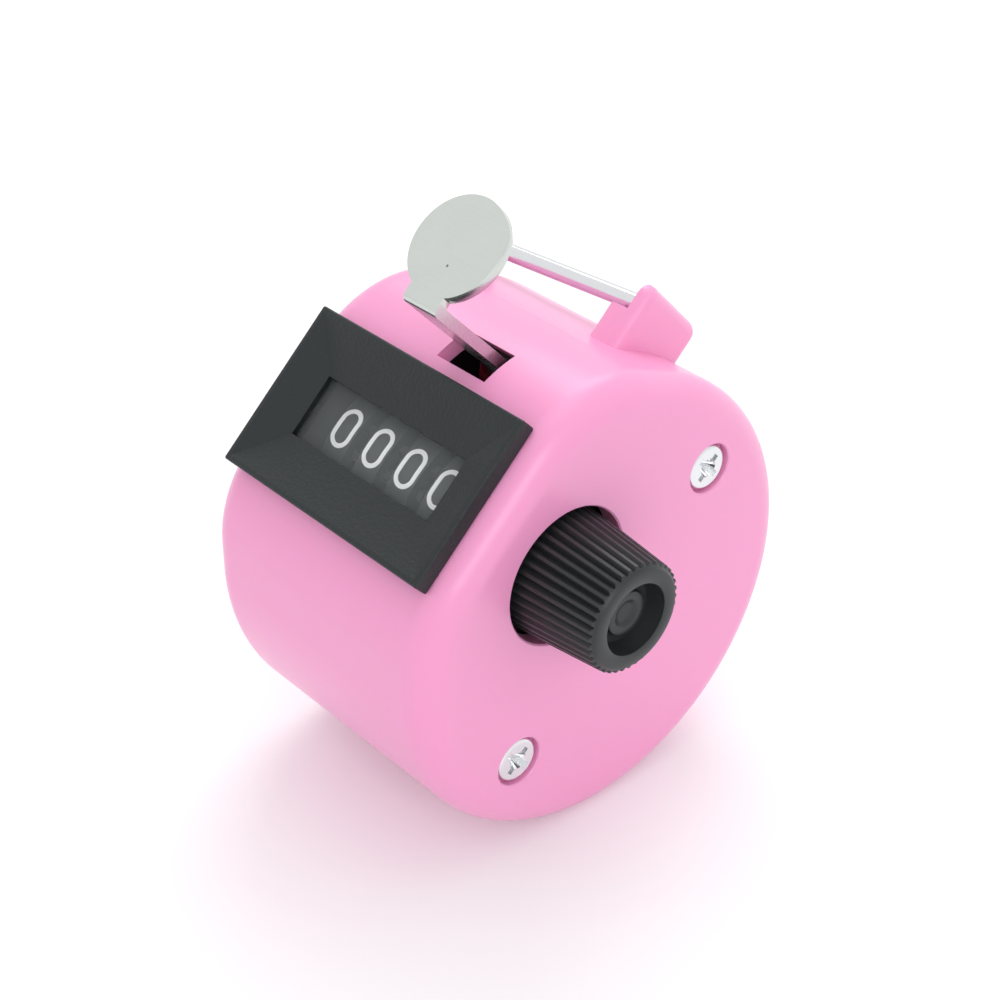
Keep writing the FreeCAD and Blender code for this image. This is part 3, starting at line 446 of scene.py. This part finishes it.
# ------------------------------------------------------------------ case
def drum(inset, x0, x1, rim=0.0):
    """Case outline moved in by inset: a drum and two corner circles wrapped by a hull, rims rounded."""
    reach = DRUM_RADIUS - CORNER
    corners = [Vector((RISE + side * HALF_FLAT, FACE - CORNER)) for side in (1, -1)]
    upper = math.atan2(corners[0].y, corners[0].x) - math.acos(reach / corners[0].length)
    lower = math.atan2(corners[1].y, corners[1].x) + math.acos(reach / corners[1].length)
    bm = bmesh.new()
    for x in (x0, x1):
        circle = bmesh.ops.create_circle(bm, segments=180, radius=DRUM_RADIUS - inset,
                                         cap_ends=False)["verts"]
        above_face = [p for p in circle if upper < math.atan2(p.co.y, p.co.x) < lower]
        for vert in circle:
            vert.co = Vector((x, vert.co.x, vert.co.y))
        bmesh.ops.delete(bm, geom=above_face, context="VERTS")
        for corner in corners:
            circle = bmesh.ops.create_circle(bm, segments=120, radius=CORNER - inset,
                                             cap_ends=False)["verts"]
            for vert in circle:
                vert.co = Vector((x, corner.x + vert.co.x, corner.y + vert.co.y))
    hull = bmesh.ops.convex_hull(bm, input=bm.verts)
    spare = {item for item in hull["geom_interior"] + hull["geom_unused"]
             if isinstance(item, bmesh.types.BMVert)}
    bmesh.ops.delete(bm, geom=list(spare), context="VERTS")
    bmesh.ops.dissolve_limit(bm, angle_limit=math.radians(0.2), verts=bm.verts, edges=bm.edges)
    if rim:
        round_edges(bm, sharp_edges(bm, math.degrees(1.2)), rim, 10, clamp=False)
    return bm


def lug(left, right, back, front, rise, rounding):
    """Strap lug, rounded everywhere but at its root."""
    bm = block((left, DRUM_RADIUS - WALL - LUG_ROOT, back), (right, DRUM_RADIUS + rise, front))
    outside = [e for e in bm.edges if max(p.co.y for p in e.verts) > DRUM_RADIUS]
    return round_edges(bm, outside, rounding, 6)


def make_case():
    """Case: drum, lugs and every opening."""
    case = object_of(drum(0, -HALF_WIDTH, HALF_WIDTH, RIM_ROUND), "case")
    combine(case, [lug(**RIGHT_LUG), lug(**LEFT_LUG)], "UNION")
    half_x = WINDOW.x / 2 + OPENING_MARGIN
    half_v = WINDOW.y / 2 + OPENING_MARGIN
    cuts = [
        drum(WALL, -HALF_WIDTH - OVERCUT, HALF_WIDTH - END_WALL),
        block((DISPLAY_X - half_x, RISE - half_v, OPENING_FLOOR),
              (DISPLAY_X + half_x, RISE + half_v, FACE + OVERCUT)),
        block((LEVER_X - SLOT_HALF, SLOT_FRONT, SLOT_FLOOR),
              (LEVER_X + SLOT_HALF, SLOT_BACK, FACE + OVERCUT)),
    ]
    cuts += bore(END_WALL + OVERCUT, KNOB_HOLE, HOLE_EDGE, AXLE.y, AXLE.z, 128)
    cuts.append(block(NOTCH_LOW, NOTCH_HIGH))
    for v in (SCREW_SPREAD, -SCREW_SPREAD):
        cuts += bore(SEAT_DEPTH, SEAT_RADIUS, SEAT_EDGE, v, 0, 64)
        cuts.append(rod(HALF_WIDTH - END_WALL - OVERCUT, HALF_WIDTH, SCREW_HOLE, v, 0, 48))
    under = block((-HALF_WIDTH - OVERCUT, -STANDING_HALF, -STANDING_DEPTH),
                  (HALF_WIDTH + OVERCUT, STANDING_HALF, STANDING_CUT - DRUM_RADIUS))
    cuts.append(place(under, Matrix.Rotation(-TILT, 4, "X")))
    combine(case, cuts, "DIFFERENCE")
    finish(case, "case_moulding", "case", pink, ["case_shell"])


# ------------------------------------------------------------------ display
def bezel_rings():
    """(width and height, level) of each square ring of the bezel, from the back of its spigot inwards."""
    window = WINDOW.xy
    rim = BEZEL.xy
    lip = rim - Vector((2 * LIP, 2 * LIP))
    spigot = window + Vector((2 * SPIGOT_MARGIN, 2 * SPIGOT_MARGIN))
    seat = window + Vector((2 * LENS_SEAT, 2 * LENS_SEAT))
    top = FACE + BEZEL.z
    back = FACE - SPIGOT_DEPTH
    lens_top = top - WINDOW.z - LENS_SINK
    rings = [(spigot, back), (spigot, FACE), (rim, FACE), (rim, top), (lip, top)]
    for step in range(1, SLOPE_STEPS + 1):
        share = step / SLOPE_STEPS
        drop = WINDOW.z * share * (1 + SLOPE_BOW * (1 - share))
        rings.append((lip.lerp(window, share), top - drop))
    return rings + [(window, lens_top), (seat, lens_top), (seat, back)]


def make_bezel():
    """Bezel: flat lip, slopes down to the window and a spigot behind."""
    bm = bmesh.new()
    ring = bmesh.ops.create_grid(bm, x_segments=1, y_segments=1, size=0.5)["verts"]
    ring.sort(key=lambda p: math.atan2(p.co.y, p.co.x))
    bmesh.ops.delete(bm, geom=list(bm.faces), context="FACES_ONLY")
    for number, (size, level) in enumerate(bezel_rings()):
        if number:
            edges = [e for e in bm.edges if e.verts[0] in ring and e.verts[1] in ring]
            ring = new_verts(bmesh.ops.extrude_edge_only(bm, edges=edges))
            ring.sort(key=lambda p: math.atan2(p.co.y - RISE, p.co.x - DISPLAY_X))
        for vert, (side, end) in zip(ring, ((-1, -1), (1, -1), (1, 1), (-1, 1))):
            vert.co = Vector((DISPLAY_X + side * size.x / 2, RISE + end * size.y / 2, level))
    bmesh.ops.bridge_loops(bm, edges=[e for e in bm.edges if len(e.link_faces) == 1])
    bmesh.ops.recalc_face_normals(bm, faces=bm.faces)
    outer = [e for e in sharp_edges(bm, 60)
             if max(abs(p.co.x - DISPLAY_X) for p in e.verts) > BEZEL.x / 2 - 0.01
             or max(abs(p.co.y - RISE) for p in e.verts) > BEZEL.y / 2 - 0.01]
    round_edges(bm, outer, LIP_ROUND, 4)
    finish(object_of(bm, "bezel"), "bezel_moulding", "case", black, ["bezel"],
           angle=9)


def make_lens():
    """Clear pane with softened edges."""
    top = FACE + BEZEL.z - WINDOW.z - LENS_SINK
    half_x = WINDOW.x / 2 + LENS_MARGIN
    half_v = WINDOW.y / 2 + LENS_MARGIN
    bm = block((DISPLAY_X - half_x, RISE - half_v, top - LENS_THICKNESS),
               (DISPLAY_X + half_x, RISE + half_v, top))
    round_edges(bm, bm.edges[:], LENS_EDGE, 2)
    finish(object_of(bm, "lens"), "clear_pane", "case", clear, ["window_lens"])


# ------------------------------------------------------------------ figure wheels
def cut_in_strips(bm):
    """Cut a flat figure across so that it can be wrapped round a wheel."""
    half = FIGURE_STRIPS // 2
    for strip in range(1 - half, half):
        bmesh.ops.bisect_plane(bm, geom=bm.verts[:] + bm.edges[:] + bm.faces[:],
                               plane_co=(0, strip * FIGURE_HEIGHT / FIGURE_STRIPS, 0),
                               plane_no=(0, 1, 0))
    return bm


def zero():
    """Flat nought: two half circles joined by straight sides."""
    bm = bmesh.new()
    sides = 48
    half_side = Matrix.Rotation(math.pi / sides, 3, "Z")
    for radius in (FIGURE_WIDTH / 2, FIGURE_WIDTH / 2 - FIGURE_STROKE):
        circle = bmesh.ops.create_circle(bm, segments=sides, radius=radius, cap_ends=False)["verts"]
        bmesh.ops.rotate(bm, verts=circle, cent=(0, 0, 0), matrix=half_side)
        for vert in circle:
            vert.co.y += math.copysign((FIGURE_HEIGHT - FIGURE_WIDTH) / 2, vert.co.y)
    bmesh.ops.bridge_loops(bm, edges=bm.edges[:])
    raised = new_verts(bmesh.ops.extrude_face_region(bm, geom=bm.faces[:]))
    bmesh.ops.translate(bm, verts=raised, vec=(0, 0, 2 * FIGURE_DEPTH))
    place(bm, Matrix.Translation((0, 0, -FIGURE_DEPTH)))
    bmesh.ops.recalc_face_normals(bm, faces=bm.faces)
    return cut_in_strips(bm)


def figure(text):
    """Flat figure of one character, centred."""
    curve = bpy.data.curves.new("figure", "FONT")
    curve.body = text
    curve.size = FIGURE_HEIGHT / CAP_HEIGHT
    curve.extrude = FIGURE_DEPTH
    curve.resolution_u = 6
    obj = bpy.data.objects.new("figure", curve)
    bpy.context.scene.collection.objects.link(obj)
    graph = bpy.context.evaluated_depsgraph_get()
    mesh = bpy.data.meshes.new_from_object(obj.evaluated_get(graph))
    bpy.data.objects.remove(obj)
    bm = bmesh.new()
    bm.from_mesh(mesh)
    bpy.data.meshes.remove(mesh)
    bmesh.ops.remove_doubles(bm, verts=bm.verts, dist=1e-5)
    xs, ys = [p.co.x for p in bm.verts], [p.co.y for p in bm.verts]
    narrow = min(WIDEST, FIGURE_WIDTH / (max(xs) - min(xs)))
    place(bm, Matrix.Translation((-(min(xs) + max(xs)) / 2, -(min(ys) + max(ys)) / 2, 0)),
          Matrix.Diagonal((narrow, FIGURE_HEIGHT / (max(ys) - min(ys)), 1, 1)))
    return cut_in_strips(bm)


def make_band(label, middle):
    """Figure band over a wheel, its sides dished."""
    half = WHEEL_RIM / 2 + BAND_COVER
    band = rod(middle - half, middle + half, WHEEL_RADIUS + BAND_COVER, AXLE.y, AXLE.z, 160)
    round_edges(band, sharp_edges(band, 60), BAND_EDGE, 2)
    sides = [f for f in band.faces if abs(f.normal.x) > 0.9 and f.calc_area() > 50]
    bmesh.ops.inset_region(band, faces=sides, thickness=BAND_BORDER, depth=-BAND_DISH)
    finish(object_of(band, label), f"{label}_band", label, wheel_grey)


def make_figures(label, middle):
    """Ten figures wrapped round a wheel, nought in the window."""
    mesh = bpy.data.meshes.new(f"{label}_figures")
    joined = bmesh.new()
    for value in range(10):
        piece = figure(str(value)) if value else zero()
        turn = math.radians(36 * value) + AXLE_SHIFT / WHEEL_RADIUS
        for vert in piece.verts:
            angle = turn + vert.co.y / WHEEL_RADIUS
            radius = WHEEL_RADIUS + FIGURE_LIFT + vert.co.z
            vert.co = Vector((middle + vert.co.x, AXLE.y + radius * math.sin(angle),
                              AXLE.z + radius * math.cos(angle)))
        piece.to_mesh(mesh)
        joined.from_mesh(mesh)
        piece.free()
    bpy.data.meshes.remove(mesh)
    finish(object_of(joined, label), f"{label}_figures", label, glowing_figure_white, angle=40)


def make_wheels():
    """Bands and figures of the four wheels, thousands on the left."""
    for number, label in enumerate(("thousands", "hundreds", "tens", "units")):
        middle = DISPLAY_X + (number - 1.5) * WHEEL_PITCH
        make_band(label, middle)
        make_figures(label, middle)


# ------------------------------------------------------------------ reset knob
def rib_radius(turn):
    """Radius of the knob's base at an angle, ribs and grooves in turn."""
    wave = 0.5 + 0.5 * math.cos(turn * KNOB_RIBS)
    return KNOB_BASE - RIB_DEPTH * (1 - min(1.0, RIB_FULLNESS * wave))


def next_ring(bm, edges, x, scale=1.0, radius=None):
    """Draw the knob's last ring out to x, scaled or made a plain circle."""
    made = bmesh.ops.extrude_edge_only(bm, edges=edges)
    for vert in new_verts(made):
        off = Vector((vert.co.y - AXLE.y, vert.co.z - AXLE.z))
        off = off * scale if radius is None else off.normalized() * radius
        vert.co = Vector((x, AXLE.y + off.x, AXLE.z + off.y))
    return [item for item in made["geom"] if isinstance(item, bmesh.types.BMEdge)]


def make_knob():
    """Tapered knob: fine ribs, flat ring, dished end and a round boss with a dimple."""
    end_x = HALF_WIDTH + KNOB_REACH
    points = KNOB_RIBS * POINTS_PER_RIB
    bm = bmesh.new()
    circle = bmesh.ops.create_circle(bm, segments=points, radius=1.0, cap_ends=False)["verts"]
    for number, vert in enumerate(circle):
        turn = 2 * math.pi * number / points
        radius = rib_radius(turn)
        vert.co = Vector((HALF_WIDTH - END_WALL - KNOB_INSIDE, AXLE.y + radius * math.cos(turn),
                          AXLE.z + radius * math.sin(turn)))
    taper = KNOB_END / KNOB_BASE
    shoulder = 1.0 - (1 - taper) * SHOULDER_SHARE
    ring = next_ring(bm, bm.edges[:], HALF_WIDTH + KNOB_SHOULDER, shoulder)
    ring = next_ring(bm, ring, end_x - KNOB_EDGE, taper / shoulder)
    for depth, radius in END_PROFILE:
        ring = next_ring(bm, ring, end_x - depth, radius=radius)
    bmesh.ops.holes_fill(bm, edges=bm.edges[:], sides=0)
    bmesh.ops.recalc_face_normals(bm, faces=bm.faces)
    finish(object_of(bm, "knob"), "ribbed_knob", "reset", knob_black, ["reset_knob"],
           angle=28)


# ------------------------------------------------------------------ lever
def make_lever():
    """Lever: round thumb pad, short neck, square bend and the strip down into the slot."""
    left, right = LEVER_X - LEVER_WIDTH / 2, LEVER_X + LEVER_WIDTH / 2
    front, back = LEVER_MIDDLE - STEEL / 2, LEVER_MIDDLE + STEEL / 2
    lever = object_of(block((left, front, LEVER_FOOT), (right, back, PAD_TOP)), "lever")
    neck = block((left, front, PAD_TOP - STEEL), (right, PAD_V, PAD_TOP))
    web = block((left, front, LEVER_FOOT), (WEB_RIGHT, back, WEB_TOP))
    combine(lever, [neck, web], "UNION")
    bm = bmesh.new()
    bm.from_mesh(lever.data)
    bend = [e for e in bm.edges
            if all(abs(p.co.y - front) < 1e-4 and abs(p.co.z - PAD_TOP) < 1e-4 for p in e.verts)]
    round_edges(bm, bend, BEND_ROUND, 8)
    bm.to_mesh(lever.data)
    bm.free()
    pad = bmesh.new()
    bmesh.ops.create_cone(pad, cap_ends=True, segments=160, radius1=PAD_RADIUS, radius2=PAD_RADIUS,
                          depth=STEEL)
    place(pad, Matrix.Translation((LEVER_X, PAD_V, PAD_TOP - STEEL / 2)))
    dimple = bmesh.new()
    bmesh.ops.create_cone(dimple, cap_ends=True, segments=24, radius1=DIMPLE_TIP, radius2=DIMPLE_RADIUS,
                          depth=2 * DIMPLE_DEPTH)
    place(dimple, Matrix.Translation((LEVER_X + DIMPLE_OFF.x, PAD_V + DIMPLE_OFF.y, PAD_TOP)))
    combine(lever, [pad], "UNION")
    combine(lever, [dimple], "DIFFERENCE")
    finish(lever, "lever_strip", "lever", nickel, ["thumb_lever"], angle=30,
           bevel=0.2)


# ------------------------------------------------------------------ the rest of the frame
def make_screws():
    """Two cross-head screws: domed heads, shanks and recesses that narrow inwards."""
    tail = Vector(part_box("case_screws")[0]).x / MM
    top = HALF_WIDTH - SCREW_SINK
    parts, recesses = [], []
    for v in (SCREW_SPREAD, -SCREW_SPREAD):
        head = rod(top - SCREW_HEAD, top, SCREW_RADIUS, v, 0)
        rim = [e for e in sharp_edges(head, 60) if min(p.co.x for p in e.verts) > top - 0.01]
        parts.append(round_edges(head, rim, SCREW_DOME, 8))
        parts.append(rod(tail, top - SCREW_HEAD + SHANK_LAP, SHANK_RADIUS, v, 0, 48))
        for along_v, along_w in ((CROSS.x, CROSS.y), (CROSS.y, CROSS.x)):
            recesses.append(block((top - CROSS.z, v - along_v / 2, -along_w / 2),
                                  (top + OVERCUT, v + along_v / 2, along_w / 2)))
        recesses.append(rod(top - RECESS_DEPTH, top + RECESS_OVER, RECESS_BOTTOM, v, 0, 24,
                            RECESS_TOP))
    screws = object_of(parts[0], "screws")
    combine(screws, parts[1:], "UNION")
    combine(screws, recesses, "DIFFERENCE")
    finish(screws, "cross_head_screws", "case", screw_steel, ["case_screws"],
           angle=35)


def make_copies():
    """Smooth copies of the end cover and the strap bar."""
    finish(merged_copy("end_cover"), "cover_moulding", "case", pink, ["end_cover"],
           angle=30, lean=False)
    finish(merged_copy("strap_bar"), "strap_wire", "case", bright_steel, ["strap_bar"],
           angle=30, lean=False)


def paint_frame():
    """Materials of the frame nodes that stay."""
    for node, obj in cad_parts.items():
        if node.startswith("wheel_"):
            material = wheel_grey
        elif node.startswith("carry_pinion"):
            material = pinion_white
        elif node.startswith("side_plate"):
            material = dark_plate
        else:
            material = plain_steel
        obj.data.materials.clear()
        obj.data.materials.append(material)


# ------------------------------------------------------------------ stage
SKY_STRENGTH = 0.82
FLOOR_GLOW = 0.1
FLOOR_SIZE = 3.0
LAMPS = [                # name, place (m), size (m), watts
    ("key_lamp", Vector((-0.22, 0.28, 0.5)), 0.35, 1.1),
    ("top_lamp", Vector((0.05, 0.05, 0.6)), 0.3, 0.3),
    ("side_lamp", Vector((0.42, -0.2, 0.28)), 0.16, 0.38)]
LAMP_AIM = Vector((0, 0, 0.02))
CAMERA_AZIMUTH = math.radians(48.03)
CAMERA_ELEVATION = math.radians(33.9)
CAMERA_DISTANCE = 0.19856
CAMERA_TARGET = Vector((0, -0.00013, 0.02822))


def sees_background(tree):
    """1 for rays straight from the camera, off a glossy surface or through glass."""
    path = tree.nodes.new("ShaderNodeLightPath")
    bent = maths(tree, "MAXIMUM", path.outputs["Is Glossy Ray"], path.outputs["Is Transmission Ray"])
    return maths(tree, "MAXIMUM", path.outputs["Is Camera Ray"], bent)


def make_floor():
    """Pale floor that looks white outside the shadow."""
    bm = bmesh.new()
    bmesh.ops.create_grid(bm, x_segments=1, y_segments=1, size=FLOOR_SIZE)
    floor = object_of(bm, "floor")
    material = bpy.data.materials.new("pale_floor")
    material.use_nodes = True
    tree = material.node_tree
    shader = tree.nodes["Principled BSDF"]
    shader.inputs["Base Color"].default_value = (0.9, 0.9, 0.905, 1.0)
    shader.inputs["Roughness"].default_value = 0.9
    shader.inputs["Emission Color"].default_value = (1, 1, 1, 1)
    glow = maths(tree, "MULTIPLY", sees_background(tree), FLOOR_GLOW)
    tree.links.new(glow, shader.inputs["Emission Strength"])
    floor.data.materials.append(material)


def make_sky():
    """Soft light all round, and plain white where the background is seen."""
    world = bpy.data.worlds.new("studio")
    bpy.context.scene.world = world
    world.use_nodes = True
    tree = world.node_tree
    sky = tree.nodes["Background"]
    sky.inputs["Color"].default_value = (1, 1, 1, 1)
    sky.inputs["Strength"].default_value = SKY_STRENGTH
    white = tree.nodes.new("ShaderNodeBackground")
    white.inputs["Color"].default_value = (1, 1, 1, 1)
    white.inputs["Strength"].default_value = 1.0
    mix = tree.nodes.new("ShaderNodeMixShader")
    tree.links.new(sees_background(tree), mix.inputs["Fac"])
    tree.links.new(sky.outputs["Background"], mix.inputs[1])
    tree.links.new(white.outputs["Background"], mix.inputs[2])
    tree.links.new(mix.outputs["Shader"], tree.nodes["World Output"].inputs["Surface"])


def make_lamps():
    """Weak large lamps: above and behind to the left, straight above, and low on the knob side."""
    for name, spot, size, watts in LAMPS:
        lamp = bpy.data.lights.new(name, "AREA")
        lamp.size = size
        lamp.energy = watts
        obj = bpy.data.objects.new(name, lamp)
        bpy.context.scene.collection.objects.link(obj)
        obj.location = spot
        obj.rotation_euler = (LAMP_AIM - spot).to_track_quat("-Z", "Y").to_euler()


def make_camera():
    """Camera to the front right, looking down at the counter."""
    camera = bpy.data.cameras.new("camera")
    camera.lens = 73.0
    camera.sensor_width = 36.0
    obj = bpy.data.objects.new("camera", camera)
    bpy.context.scene.collection.objects.link(obj)
    level = math.cos(CAMERA_ELEVATION)
    forward = Vector((-math.sin(CAMERA_AZIMUTH) * level, math.cos(CAMERA_AZIMUTH) * level,
                      -math.sin(CAMERA_ELEVATION)))
    obj.location = CAMERA_TARGET - forward * CAMERA_DISTANCE
    obj.rotation_euler = forward.to_track_quat("-Z", "Y").to_euler()
    bpy.context.scene.camera = obj
    bpy.context.scene.view_settings.view_transform = "Standard"


make_case()
make_bezel()
make_lens()
make_wheels()
make_knob()
make_lever()
make_screws()
make_copies()
paint_frame()
make_floor()
make_sky()
make_lamps()
make_camera()
